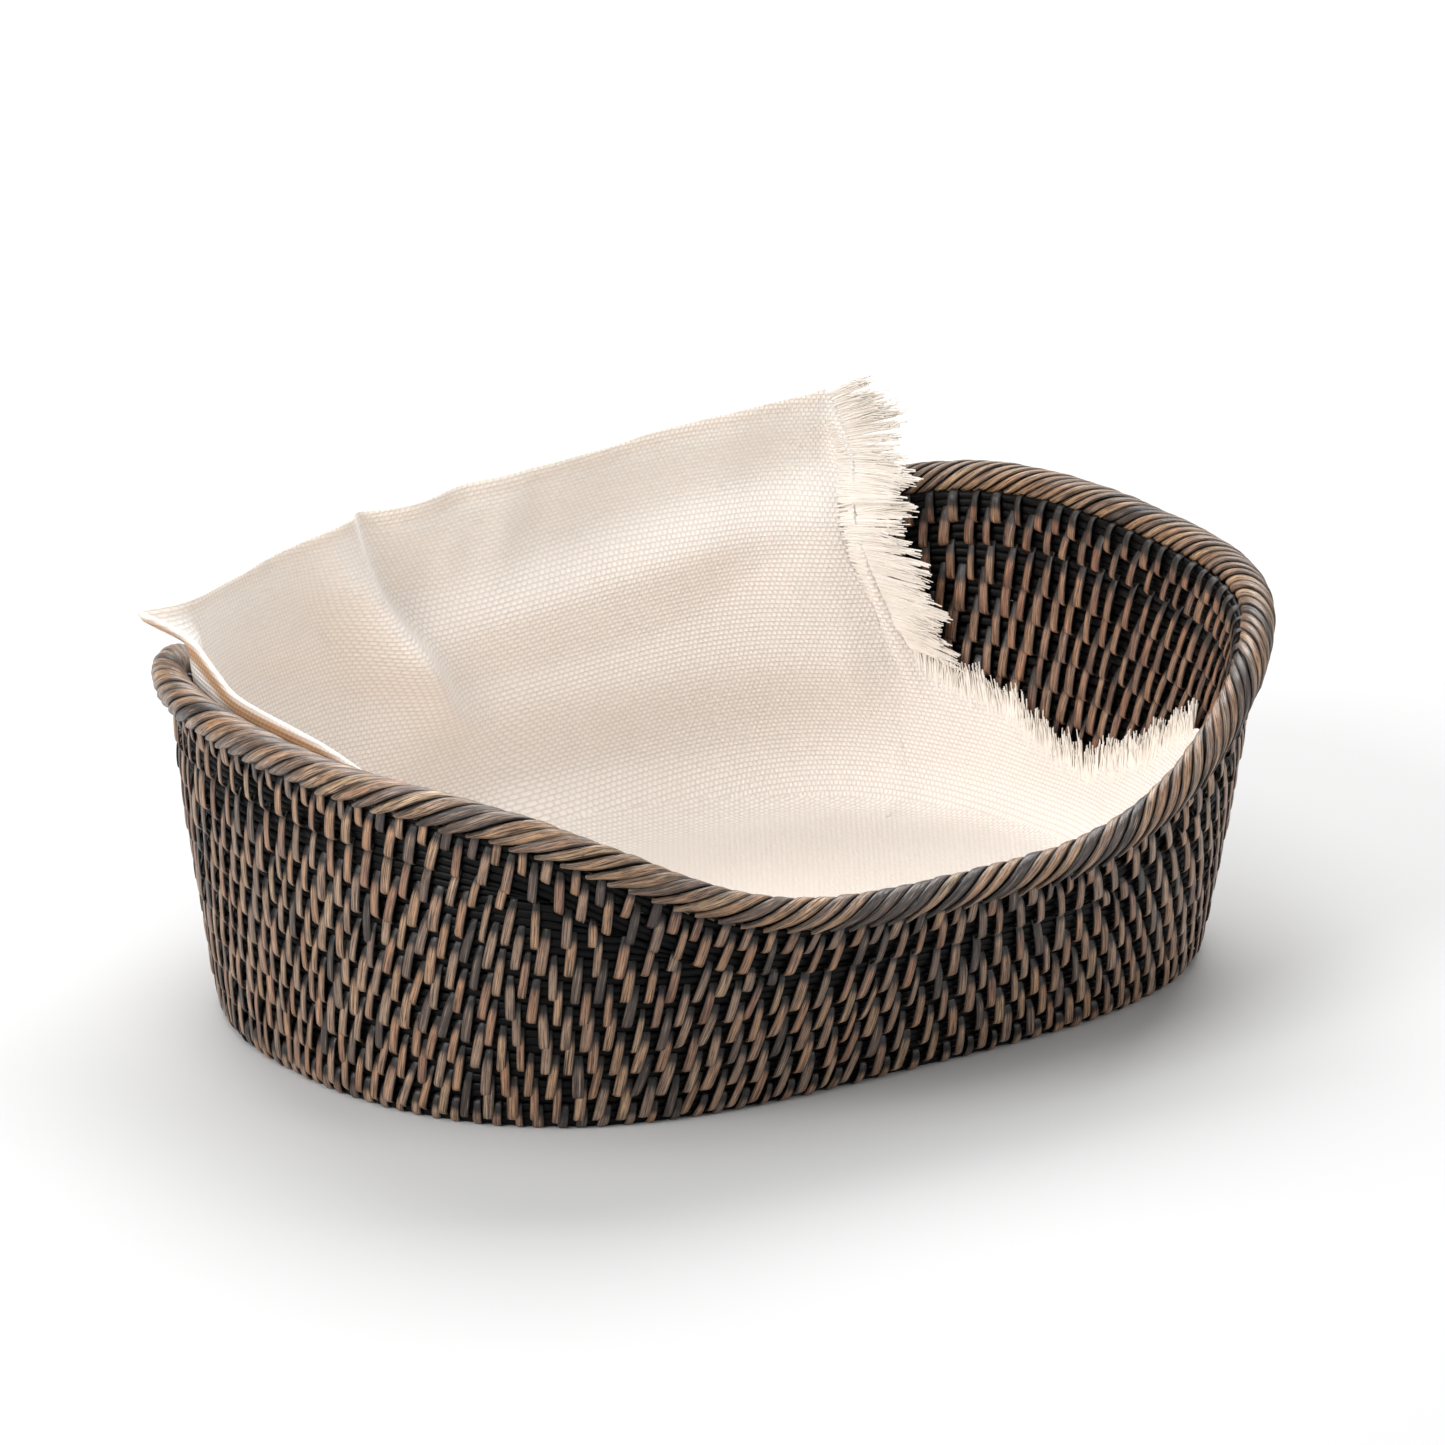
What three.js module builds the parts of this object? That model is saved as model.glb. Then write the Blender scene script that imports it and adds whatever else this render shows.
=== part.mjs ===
// Oval rattan basket with two dipped long sides, coiled from whole rods, and a loose cloth liner.
// Millimetres, +Z up. The origin is the middle of the underside of the base.
// +X runs along the long axis towards the taller end, +Y towards the side the liner stands against.
import * as THREE from "three";

// ---- driving dimensions ----------------------------------------------------------------------
const BASE_HALF_LENGTH = 172.2; // outer face of the wall at the floor, along X
const BASE_HALF_WIDTH = 116.2; // outer face of the wall at the floor, along Y
const FLARE_LENGTH = 11.8; // how far each end leans out over the full height
const FLARE_WIDTH = 42.2; // how far the long sides would lean out over the full height
const WALL_BELLY = 0.04; // share of the flare added as a gentle belly at half height
const FULL_HEIGHT = 121.2; // height the flare is measured over
const RIM_LOW = 72.4; // rim centre line at the middle of the long sides
const RIM_END_LEFT = 117.3; // rim centre line at the -X end
const RIM_END_RIGHT = 125.1; // rim centre line at the +X end
const RIM_DIP_SHAPE = 1.37; // how long the low part of the rim stays low
const RIM_RADIUS = 5.9; // wrapped rim, half its thickness
const WALL_THICKNESS = 7.6; // coil rod with its wrapping, through the wall
const ROD_GAP = 0.4; // clear space between neighbouring rods
const NECK_HEIGHT = 5.4; // rod held directly under the rim
const UPPER_HEIGHT = 8.6; // rod that follows the rim below the neck rod
const ROW_PITCH_LOW = 8.55; // row spacing at the middle of the long sides
const FULL_ROWS = 6; // rows that run all the way round
const SHORT_ROWS = 4; // extra rows that fill the high ends only
const BASE_HEIGHT = 8; // thickness of the base rods
const BASE_ROD_WIDTH = 8.2; // width of one base rod
const BASE_ROD_FLAT = 0.36; // half of the flat underside, as a share of the width
const BASE_RINGS = 11; // oval rings around the straight core rod
const CORE_HALF_LENGTH = 60; // half length of the line the base rings grow from
const LINER_THICKNESS = 2; // cloth with its slack
const LINER_INSET = 9.4; // outer face of the wall to the outer face of the cloth
const LINER_FLOOR = 8.8; // underside of the cloth on the base
const LINER_GAP = 0.1; // between the cloth on the base and the standing cloth
const FRINGE_THICKNESS = 1.4; // loose threads lying flat
const FRINGE_GAP = 0.4; // hem line between cloth and threads

// Plan shape exponents at the floor and at full height, along X and along Y.
const SHAPE_X = [3.42, 2.12];
const SHAPE_Y = [2.2, 2.5];

// Height of the cloth edge around the basket, as [direction in degrees, height].
const LINER_EDGE = [
  [0, 33], [12, 37], [24, 48], [31, 58], [37, 158], [65, 147], [85, 140], [107, 136], [130, 133],
  [150, 130], [165, 126], [180, 118], [200, 106], [215, 96], [240, 76], [270, 60], [300, 66],
  [330, 70], [342, 68], [352, 48], [360, 33],
];
const FRINGE_LENGTH = 11; // threads along the low end of the liner
const CORNER_FRINGE = 13; // threads beside the standing corner of the liner

// ---- plan curves -----------------------------------------------------------------------------
const mix = (a, b, t) => a + (b - a) * t;
const clamp01 = (t) => Math.min(1, Math.max(0, t));
const bend = (v, e) => Math.sign(v) * Math.abs(v) ** e;

// Outer face of the wall in direction `th` at height `z`.
function wallPoint(th, z) {
  const t = clamp01(z / FULL_HEIGHT);
  const lean = z / FULL_HEIGHT + WALL_BELLY * 4 * t * (1 - t);
  const halfLength = BASE_HALF_LENGTH + FLARE_LENGTH * lean;
  const halfWidth = BASE_HALF_WIDTH + FLARE_WIDTH * lean;
  const x = halfLength * bend(Math.cos(th), 2 / mix(SHAPE_X[0], SHAPE_X[1], t));
  const y = halfWidth * bend(Math.sin(th), 2 / mix(SHAPE_Y[0], SHAPE_Y[1], t));
  return new THREE.Vector3(x, y, z);
}

// Outward direction in plan of the wall at direction `th` and height `z`.
function wallNormal(th, z) {
  const step = 0.02;
  const along = wallPoint(th + step, z).sub(wallPoint(th - step, z));
  return new THREE.Vector3(along.y, -along.x, 0).normalize();
}

// A point `inset` inside the outer face of the wall.
function inside(th, z, inset, level = z) {
  const point = wallPoint(th, level).addScaledVector(wallNormal(th, level), -inset);
  point.z = z;
  return point;
}

// Directions spaced evenly by length around the wall, `count` of them, starting at +X.
function evenDirections(count) {
  const fine = 1440;
  const total = [0];
  for (let i = 1; i <= fine; i++) {
    const a = wallPoint(((i - 1) / fine) * 2 * Math.PI, FULL_HEIGHT / 3);
    const b = wallPoint((i / fine) * 2 * Math.PI, FULL_HEIGHT / 3);
    total.push(total[i - 1] + a.distanceTo(b));
  }
  const out = [];
  let j = 0;
  for (let i = 0; i < count; i++) {
    const want = (i / count) * total[fine];
    while (total[j + 1] < want) j++;
    const part = (want - total[j]) / (total[j + 1] - total[j]);
    out.push(((j + part) / fine) * 2 * Math.PI);
  }
  return out;
}

// Rim centre line height in direction `th`.
function rimHeight(th) {
  const share = Math.abs(Math.cos(th)) ** (2 / SHAPE_X[1]);
  const end = Math.cos(th) > 0 ? RIM_END_RIGHT : RIM_END_LEFT;
  const rise = (1 - Math.cos(Math.PI * share ** RIM_DIP_SHAPE)) / 2;
  return mix(RIM_LOW, end, rise);
}

// How much taller a tilted rod is when it is cut upright.
function tilt(th) {
  const step = 0.02;
  const a = wallPoint(th - step, rimHeight(th - step));
  const b = wallPoint(th + step, rimHeight(th + step));
  const run = Math.hypot(b.x - a.x, b.y - a.y);
  return Math.hypot(1, (b.z - a.z) / run);
}

const neckTop = (th) => rimHeight(th) - (RIM_RADIUS + ROD_GAP) * tilt(th);
const upperTop = (th) => neckTop(th) - NECK_HEIGHT;
const rowsTop = (th) => upperTop(th) - UPPER_HEIGHT;

// Row spacing: closer in the dips, opening up until all the rows just fill the end.
function rowPitch(th) {
  const end = Math.cos(th) > 0 ? RIM_END_RIGHT : RIM_END_LEFT;
  const share = (rimHeight(th) - RIM_LOW) / (end - RIM_LOW);
  const above = RIM_RADIUS + ROD_GAP + NECK_HEIGHT + UPPER_HEIGHT;
  return mix(ROW_PITCH_LOW, (end - above) / (FULL_ROWS + SHORT_ROWS), share);
}

// ---- solids ----------------------------------------------------------------------------------
// Skin over a list of equal loops of points, either closed on itself or capped at both ends.
function skin(loops, closed) {
  const size = loops[0].length;
  const position = loops.flat().flatMap((p) => [p.x, p.y, p.z]);
  const index = [];
  const last = closed ? loops.length : loops.length - 1;
  for (let i = 0; i < last; i++) {
    const next = (i + 1) % loops.length;
    for (let j = 0; j < size; j++) {
      const k = (j + 1) % size;
      index.push(i * size + j, next * size + j, next * size + k);
      index.push(i * size + j, next * size + k, i * size + k);
    }
  }
  if (!closed) {
    const top = (loops.length - 1) * size;
    for (let j = 1; j < size - 1; j++) {
      index.push(0, j, j + 1);
      index.push(top, top + j + 1, top + j);
    }
  }
  return solid(position, index);
}

// Geometry from points and triangles, turned so that every face looks outwards.
function solid(position, index) {
  let volume = 0;
  const at = (i) => new THREE.Vector3().fromArray(position, i * 3);
  for (let i = 0; i < index.length; i += 3) {
    volume += at(index[i]).dot(at(index[i + 1]).cross(at(index[i + 2])));
  }
  if (volume < 0) {
    for (let i = 0; i < index.length; i += 3) {
      [index[i + 1], index[i + 2]] = [index[i + 2], index[i + 1]];
    }
  }
  const geometry = new THREE.BufferGeometry();
  geometry.setAttribute("position", new THREE.Float32BufferAttribute(position, 3));
  geometry.setIndex(index);
  geometry.computeVertexNormals();
  return geometry;
}

// Six-sided rod section with flat top and bottom, standing upright.
function rodLoop(centre, outward, width, low, high, flat = 0.27) {
  const middle = (low + high) / 2;
  const spots = [[-0.5, middle], [-flat, high], [flat, high], [0.5, middle], [flat, low], [-flat, low]];
  return spots.map(([side, z]) => {
    const p = centre.clone().addScaledVector(outward, side * width);
    p.z = z;
    return p;
  });
}

// Wall rod between two height functions, in the given directions.
function wallRod(directions, lowAt, highAt, closed) {
  const loops = directions.map((th) => {
    const low = lowAt(th);
    const high = highAt(th);
    const level = (low + high) / 2;
    const centre = inside(th, level, WALL_THICKNESS / 2);
    return rodLoop(centre, wallNormal(th, level), WALL_THICKNESS, low, high);
  });
  return skin(loops, closed);
}

// ---- materials -------------------------------------------------------------------------------
const paint = (color, roughness) => new THREE.MeshStandardMaterial({ color, roughness, metalness: 0 });
const darkRattan = () => paint(0x2a211c, 0.6);
const tanRattan = () => paint(0x8a6a50, 0.55);
const creamCloth = () => paint(0xece5da, 0.9);

const basket = new THREE.Group();
function add(name, geometry, material) {
  const mesh = new THREE.Mesh(geometry, material);
  mesh.name = name;
  basket.add(mesh);
}
const two = (n) => String(n).padStart(2, "0");

// ---- base: a straight core rod and oval rings around it ---------------------------------------
function baseCore() {
  const reach = CORE_HALF_LENGTH + 1;
  const outward = new THREE.Vector3(0, 1, 0);
  const ends = [-reach, reach].map((x) => new THREE.Vector3(x, 0, 0));
  const loops = ends.map((p) => rodLoop(p, outward, BASE_ROD_WIDTH, 0, BASE_HEIGHT, BASE_ROD_FLAT));
  return skin(loops, false);
}

function baseRing(order) {
  const directions = evenDirections(40);
  const share = order / (BASE_RINGS + 1);
  const centres = directions.map((th) => {
    const edge = inside(th, 0, WALL_THICKNESS / 2);
    const rootX = Math.max(-CORE_HALF_LENGTH, Math.min(CORE_HALF_LENGTH, edge.x));
    const root = new THREE.Vector3(rootX, 0, 0);
    return root.lerp(edge, share);
  });
  const loops = centres.map((centre, i) => {
    const before = centres[(i + centres.length - 1) % centres.length];
    const after = centres[(i + 1) % centres.length];
    const outward = new THREE.Vector3(after.y - before.y, before.x - after.x, 0).normalize();
    return rodLoop(centre, outward, BASE_ROD_WIDTH, 0, BASE_HEIGHT, BASE_ROD_FLAT);
  });
  return skin(loops, true);
}

add("base_core_rod", baseCore(), darkRattan());
for (let order = 1; order <= BASE_RINGS; order++) {
  add(`base_rod_${two(order)}`, baseRing(order), darkRattan());
}

// ---- wall: full rows, short rows at the high ends, and two rods that follow the rim ------------
const AROUND = evenDirections(48);
for (let row = 1; row <= FULL_ROWS; row++) {
  const low = (th) => (row - 1) * rowPitch(th) + (row > 1 ? ROD_GAP : 0);
  const high = (th) => Math.min(row * rowPitch(th), rowsTop(th) - ROD_GAP);
  add(`wall_rod_${two(row)}`, wallRod(AROUND, low, high, true), darkRattan());
}

// Directions of one end, from the first to the last place where the row has room.
function shortRowDirections(row, middle) {
  const room = (th) => rowsTop(th) - (row - 1) * rowPitch(th) > rowPitch(th) * 0.5;
  const out = [];
  for (let i = -90; i <= 90; i += 5) {
    const th = middle + (i * Math.PI) / 180;
    if (room(th)) out.push(th);
  }
  return out;
}

for (let row = FULL_ROWS + 1; row <= FULL_ROWS + SHORT_ROWS; row++) {
  for (const [side, middle] of [["left", Math.PI], ["right", 0]]) {
    const low = (th) => (row - 1) * rowPitch(th) + ROD_GAP;
    const high = (th) => Math.min(row * rowPitch(th), rowsTop(th) - ROD_GAP);
    const geometry = wallRod(shortRowDirections(row, middle), low, high, false);
    add(`short_rod_${two(row)}_${side}`, geometry, darkRattan());
  }
}

add("upper_rod", wallRod(AROUND, (th) => rowsTop(th), (th) => upperTop(th) - ROD_GAP, true), darkRattan());
add("neck_rod", wallRod(AROUND, (th) => upperTop(th), (th) => neckTop(th), true), darkRattan());

// ---- rim: a round hoop that dips along both long sides ------------------------------------------
function rimHoop() {
  const directions = evenDirections(60);
  const centres = directions.map((th) => wallPoint(th, rimHeight(th)));
  const loops = centres.map((centre, i) => {
    const before = centres[(i + centres.length - 1) % centres.length];
    const along = centres[(i + 1) % centres.length].clone().sub(before).normalize();
    const outward = new THREE.Vector3(along.y, -along.x, 0).normalize();
    const up = new THREE.Vector3().crossVectors(outward, along).normalize();
    const loop = [];
    for (let k = 0; k < 8; k++) {
      const turn = ((k + 0.5) / 8) * 2 * Math.PI;
      const p = centre.clone().addScaledVector(outward, RIM_RADIUS * Math.cos(turn));
      loop.push(p.addScaledVector(up, RIM_RADIUS * Math.sin(turn)));
    }
    return loop;
  });
  return skin(loops, true);
}
add("rim_hoop", rimHoop(), tanRattan());

// ---- liner: one cloth lying on the base and standing against the wall ---------------------------
function linerEdge(th) {
  const turn = (((th * 180) / Math.PI) % 360 + 360) % 360;
  const next = LINER_EDGE.findIndex(([at]) => at > turn);
  const [a0, z0] = LINER_EDGE[next - 1];
  const [a1, z1] = LINER_EDGE[next];
  return mix(z0, z1, (turn - a0) / (a1 - a0));
}

// A point on the cloth where it stands: `depth` 0 is its wall side, 1 its inner side.
function clothPoint(th, z, thickness, depth) {
  const level = Math.min(z, rimHeight(th));
  return inside(th, z, LINER_INSET + thickness * depth, level);
}

// The cloth on the base: a flat oval sheet that the standing cloth meets all round.
function linerFloor() {
  const directions = evenDirections(48);
  const rings = [0, 1].map((depth) => directions.map((th) => {
    const p = clothPoint(th, LINER_FLOOR, LINER_THICKNESS, 0);
    return new THREE.Vector3(p.x, p.y, LINER_FLOOR + LINER_THICKNESS * depth);
  }));
  const size = directions.length;
  const position = rings.flat().flatMap((p) => [p.x, p.y, p.z]);
  position.push(0, 0, LINER_FLOOR, 0, 0, LINER_FLOOR + LINER_THICKNESS);
  const index = [];
  for (let j = 0; j < size; j++) {
    const k = (j + 1) % size;
    index.push(j, k, size + k, j, size + k, size + j);
    index.push(2 * size, k, j, 2 * size + 1, size + j, size + k);
  }
  return solid(position, index);
}

// The cloth that stands against the wall, from the sheet on the base up to its edge.
function linerWall() {
  const directions = [...evenDirections(48), (31 / 180) * Math.PI, (37 / 180) * Math.PI];
  directions.sort((a, b) => a - b);
  const floor = LINER_FLOOR + LINER_THICKNESS + LINER_GAP;
  const shares = [0, 0.35, 0.7, 1];
  const loops = directions.map((th) => {
    const face = (depth) => shares.map((share) => {
      return clothPoint(th, mix(floor, linerEdge(th), share), LINER_THICKNESS, depth);
    });
    return [...face(0), ...face(1).reverse()];
  });
  return skin(loops, true);
}

// Flat band of threads between two lists of [direction in degrees, height] on the cloth surface.
function fringeBand(inner, outer) {
  const loops = inner.map((start, i) => {
    const spots = [start, outer[i]].map(([turn, z]) => [(turn / 180) * Math.PI, z]);
    const [a, b] = spots;
    return [
      clothPoint(a[0], a[1], FRINGE_THICKNESS, 0), clothPoint(b[0], b[1], FRINGE_THICKNESS, 0),
      clothPoint(b[0], b[1], FRINGE_THICKNESS, 1), clothPoint(a[0], a[1], FRINGE_THICKNESS, 1),
    ];
  });
  return skin(loops, false);
}

function endFringe() {
  const inner = [];
  for (let turn = -18; turn <= 28; turn += 4) {
    const edge = linerEdge((turn / 180) * Math.PI);
    inner.push([turn, edge + FRINGE_GAP + 0.8]);
  }
  return fringeBand(inner, inner.map(([turn, z]) => [turn, z + FRINGE_LENGTH]));
}

function cornerFringe() {
  const inner = [[31.6, 74], [33.2, 100], [34.8, 126], [36.4, 154]];
  return fringeBand(inner, inner.map(([turn, z]) => [turn - CORNER_FRINGE * 0.4, z]));
}

add("liner_floor", linerFloor(), creamCloth());
add("liner_wall", linerWall(), creamCloth());
add("liner_fringe_end", endFringe(), creamCloth());
add("liner_fringe_corner", cornerFringe(), creamCloth());

export default basket;
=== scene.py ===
"""Looks of an oval rattan basket with a fringed cloth liner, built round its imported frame.

Lengths are in millimetres until a mesh is made. A direction th is an angle round the basket's
upright axis, from 0 at its right end by way of 90 degrees at the middle of its back.
"""

import math
from collections import namedtuple

import bpy
import numpy as np
from mathutils import Matrix, Vector


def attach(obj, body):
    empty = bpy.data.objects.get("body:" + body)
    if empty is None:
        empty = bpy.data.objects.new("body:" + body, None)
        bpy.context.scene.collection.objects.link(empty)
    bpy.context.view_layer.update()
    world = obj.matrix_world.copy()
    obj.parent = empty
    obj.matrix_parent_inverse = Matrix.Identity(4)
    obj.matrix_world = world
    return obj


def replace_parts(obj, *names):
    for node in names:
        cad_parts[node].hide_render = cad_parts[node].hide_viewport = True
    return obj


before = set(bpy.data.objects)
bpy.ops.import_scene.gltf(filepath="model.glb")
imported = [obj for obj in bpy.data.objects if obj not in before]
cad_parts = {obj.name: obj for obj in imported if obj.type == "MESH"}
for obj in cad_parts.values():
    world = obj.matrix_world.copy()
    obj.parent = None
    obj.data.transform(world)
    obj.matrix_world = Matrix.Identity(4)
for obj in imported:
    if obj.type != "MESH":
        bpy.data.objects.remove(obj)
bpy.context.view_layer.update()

MM = 0.001
FLOOR_CLEARANCE = 0.0001  # metres between the lowest points and the floor

# ---- the basket's form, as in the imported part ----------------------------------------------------
BASE_HALF = (172.2, 116.2)  # half length and half width of the wall's outer face, at the floor
FLARE = (11.8, 42.2)  # how much both grow on the way up to FULL_HEIGHT
BELLY = 0.04  # bulge at half height, as a share of the flare
FULL_HEIGHT = 121.2
SHAPE_X = (3.42, 2.12)  # exponents of the outline, at the floor and at FULL_HEIGHT
SHAPE_Y = (2.2, 2.5)
RIM_LOW = 72.4  # height of the rim's centre line in the dips
RIM_END = (117.3, 125.1)  # and at the left and the right end
RIM_DIP = 1.37  # above 1 the dips are longer than the high ends
RIM_RADIUS = 5.9
WALL_THICKNESS = 7.6
GAP = 0.4
NECK_HEIGHT = 5.4
UPPER_HEIGHT = 8.6
PITCH_LOW = 8.55  # height of a full row in the dips
FULL_ROWS = 6
SHORT_ROWS = 4
BASE_HEIGHT = 8.0
BASE_RINGS = 11
CORE_HALF = 60.0  # half length of the straight rod in the middle of the base
STITCHES = 126  # strips round one row of the wall
END_CLOSER = 0.2  # how much closer together they are at the ends

AROUND = np.linspace(0, math.tau, 2401)
ANGLE_STEP = 0.02  # reach of a difference taken round the wall

rng = np.random.default_rng(7)

# A piece's material, the body it rides on and its slot.
Look = namedtuple("Look", "material body slot")


def mix(a, b, t):
    return a + (b - a) * t


def bend(v, e):
    return np.sign(v) * np.abs(v) ** e


def ease(a, b, x):
    """Smooth step from 0 at a to 1 at b."""
    t = np.clip((x - a) / (b - a), 0, 1)
    return t * t * (3 - 2 * t)


def bell(x, middle, width):
    return np.exp(-(((x - middle) / width) ** 2))


def unit(v):
    return v / np.maximum(np.linalg.norm(v, axis=-1, keepdims=True), 1e-12)


def level_side(d):
    """Level directions to the right of the directions d."""
    return unit(np.stack([d[..., 1], -d[..., 0], 0 * d[..., 0]], -1))


def turned(side, normal, angle):
    """Two directions at right angles, turned together by an angle in their own plane."""
    c, s = np.cos(angle), np.sin(angle)
    return side * c + normal * s, normal * c - side * s


def run_along(points):
    """Distance along a line, from its first point to every point."""
    return np.concatenate([[0], np.cumsum(np.linalg.norm(np.diff(points, axis=0), axis=1))])


def pick_along(at, run, values):
    """Vectors at the distances at, from the values given at the distances run."""
    return np.stack([np.interp(at, run, values[:, k]) for k in range(3)], -1)


def wall_point(th, z):
    """Outer face of the wall in direction th at height z."""
    th, z = np.broadcast_arrays(np.asarray(th, float), np.asarray(z, float))
    t = np.clip(z / FULL_HEIGHT, 0, 1)
    lean = z / FULL_HEIGHT + BELLY * 4 * t * (1 - t)
    x = (BASE_HALF[0] + FLARE[0] * lean) * bend(np.cos(th), 2 / mix(*SHAPE_X, t))
    y = (BASE_HALF[1] + FLARE[1] * lean) * bend(np.sin(th), 2 / mix(*SHAPE_Y, t))
    return np.stack([x, y, z], -1)


def wall_normal(th, z):
    """Level direction out of the wall."""
    return level_side(wall_point(th + ANGLE_STEP, z) - wall_point(th - ANGLE_STEP, z))


def inside(th, z, inset):
    """Point that lies an inset in from the wall's outer face."""
    p = wall_point(th, z) - wall_normal(th, z) * np.asarray(inset)[..., None]
    p[..., 2] = z
    return p


def end_height(th):
    """Height of the rim's centre line at the end that direction th points to."""
    return np.where(np.cos(th) > 0, RIM_END[1], RIM_END[0])


def rim_height(th):
    share = np.abs(np.cos(th)) ** (2 / SHAPE_X[1])
    return mix(RIM_LOW, end_height(th), (1 - np.cos(math.pi * share**RIM_DIP)) / 2)


def slope_length(th):
    """Length along the rim for each level millimetre."""
    a, b = (wall_point(t, rim_height(t)) for t in (th - ANGLE_STEP, th + ANGLE_STEP))
    run = np.hypot(*(b - a)[..., :2].T).T
    return np.hypot(1, (b - a)[..., 2] / run)


def neck_top(th):
    return rim_height(th) - (RIM_RADIUS + GAP) * slope_length(th)


def upper_top(th):
    return neck_top(th) - NECK_HEIGHT


def rows_top(th):
    return upper_top(th) - UPPER_HEIGHT


def row_pitch(th):
    """Height of one row of the wall, which grows a little from the dips to the ends."""
    end = end_height(th)
    share = (rim_height(th) - RIM_LOW) / (end - RIM_LOW)
    above = RIM_RADIUS + GAP + NECK_HEIGHT + UPPER_HEIGHT
    return mix(PITCH_LOW, (end - above) / (FULL_ROWS + SHORT_ROWS), share)


# ---- mesh helpers ----------------------------------------------------------------------------------
def add_object(name, data):
    obj = bpy.data.objects.new(name, data)
    bpy.context.scene.collection.objects.link(obj)
    return obj


def make_mesh(name, points, quads, look, values):
    """A smooth mesh piece, with one value for each point or for each corner of the quads."""
    mesh = bpy.data.meshes.new(name)
    points = np.asarray(points, np.float64).reshape(-1, 3) * MM
    points[:, 2] = np.maximum(points[:, 2], FLOOR_CLEARANCE)
    quads = np.asarray(quads, np.int32).reshape(-1, 4)
    mesh.vertices.add(len(points))
    mesh.vertices.foreach_set("co", points.astype(np.float32).ravel())
    mesh.loops.add(quads.size)
    mesh.loops.foreach_set("vertex_index", quads.ravel())
    mesh.polygons.add(len(quads))
    mesh.polygons.foreach_set("loop_start", np.arange(0, quads.size, 4, dtype=np.int32))
    mesh.update(calc_edges=True)
    mesh.validate()
    mesh.shade_smooth()
    for key, data in values.items():
        data = np.asarray(data, np.float32).ravel()
        domain = "POINT" if len(data) == len(points) else "CORNER"
        mesh.attributes.new(key, "FLOAT", domain).data.foreach_set("value", data)
    mesh.materials.append(look.material)
    obj = add_object(name, mesh)
    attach(obj, look.body)
    return obj


def grid_quads(rows, cols, wrap_rows, wrap_cols):
    """Quads over a grid of rows by cols points, closed on itself where asked."""
    i = np.arange(rows if wrap_rows else rows - 1)
    j = np.arange(cols if wrap_cols else cols - 1)
    i, j = np.meshgrid(i, j, indexing="ij")
    i2, j2 = (i + 1) % rows, (j + 1) % cols
    quads = np.stack([i * cols + j, i2 * cols + j, i2 * cols + j2, i * cols + j2], -1)
    return quads.reshape(-1, 4)


def many(count, quads, size):
    """The same quads repeated for count parts of size points each."""
    return (quads[None] + (np.arange(count) * size)[:, None, None]).reshape(-1, 4)


def circle(sides):
    return np.arange(sides) / sides * math.tau


def smooth_path(points, count, closed):
    """Catmull-Rom curve through points, count samples."""
    p = np.asarray(points, float)
    n = len(p)
    span = n if closed else n - 1
    t = np.arange(count) / (count if closed else count - 1) * span
    i = np.minimum(t.astype(int), span - 1)
    f = (t - i)[:, None]
    a, b, c, d = (p[k % n if closed else np.clip(k, 0, n - 1)] for k in (i - 1, i, i + 1, i + 2))
    square, cube = 2 * a - 5 * b + 4 * c - d, 3 * b - 3 * c + d - a
    return 0.5 * (2 * b + (c - a) * f + square * f**2 + cube * f**3)


# ---- the loop that a strip follows round a row ---------------------------------------------------------
# Points are (outward share of the depth, height in half rows), down the outer side. The inner side
# mirrors them.
INNER_REACH = 0.86  # how far down the inner side reaches, as a share of the outer side
LONG_SIDE = [
    (0.22, 1.08), (0.52, 0.84), (0.76, 0.42), (0.93, -0.10), (1.05, -0.70),
    (1.12, -1.30), (1.14, -1.80), (1.10, -2.16), (0.74, -2.36), (0.25, -2.40),
]
NECK_SIDE = [
    (0.55, 0.90), (0.95, 0.55), (1.04, 0.0), (1.04, -0.65), (1.0, -1.25), (0.7, -1.55), (0.25, -1.6),
]
ROUND_SIDE = [(0.55, 0.90), (0.95, 0.55), (1.04, 0.0), (0.95, -0.52), (0.55, -0.84)]


def strip_loop(side, bottom=None):
    """Closed loop from its outer side, with one more point at the height bottom if that is given."""
    inner = [(-a, b * (INNER_REACH if b < 0 else 1)) for a, b in side[::-1]]
    return np.array(side + ([] if bottom is None else [(0.0, bottom)]) + inner)


LONG_LOOP = strip_loop(LONG_SIDE, -2.34)
NECK_LOOP = strip_loop(NECK_SIDE, -1.55)
ROUND_LOOP = strip_loop(ROUND_SIDE)
UPPER_LOOP = LONG_LOOP * (1, 0.93) + (0, 0.76)


# ---- rows: a path round the basket with its own frame at every place ------------------------------
class Row:
    """One coil: its centre line, outward and upward directions and half height, place by place."""

    LOOK_AHEAD = 0.8

    def __init__(self, name, centre, outward, upward, half, closed=True):
        self.name, self.closed = name, closed
        self.centre, self.outward, self.upward, self.half = centre, outward, upward, half
        self.at = run_along(centre)
        self.length = self.at[-1]

    def on_row(self, s):
        return np.mod(s, self.length) if self.closed else np.clip(s, 0, self.length)

    def sample(self, s):
        """Centre, outward, upward and lengthwise directions and half height at the distances s."""
        s = self.on_row(s)
        far, near = (
            pick_along(self.on_row(s + step), self.at, self.centre)
            for step in (self.LOOK_AHEAD, -self.LOOK_AHEAD)
        )
        centre, outward, upward = (
            pick_along(s, self.at, values) for values in (self.centre, self.outward, self.upward)
        )
        return centre, unit(outward), upward, unit(far - near), np.interp(s, self.at, self.half)


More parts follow.
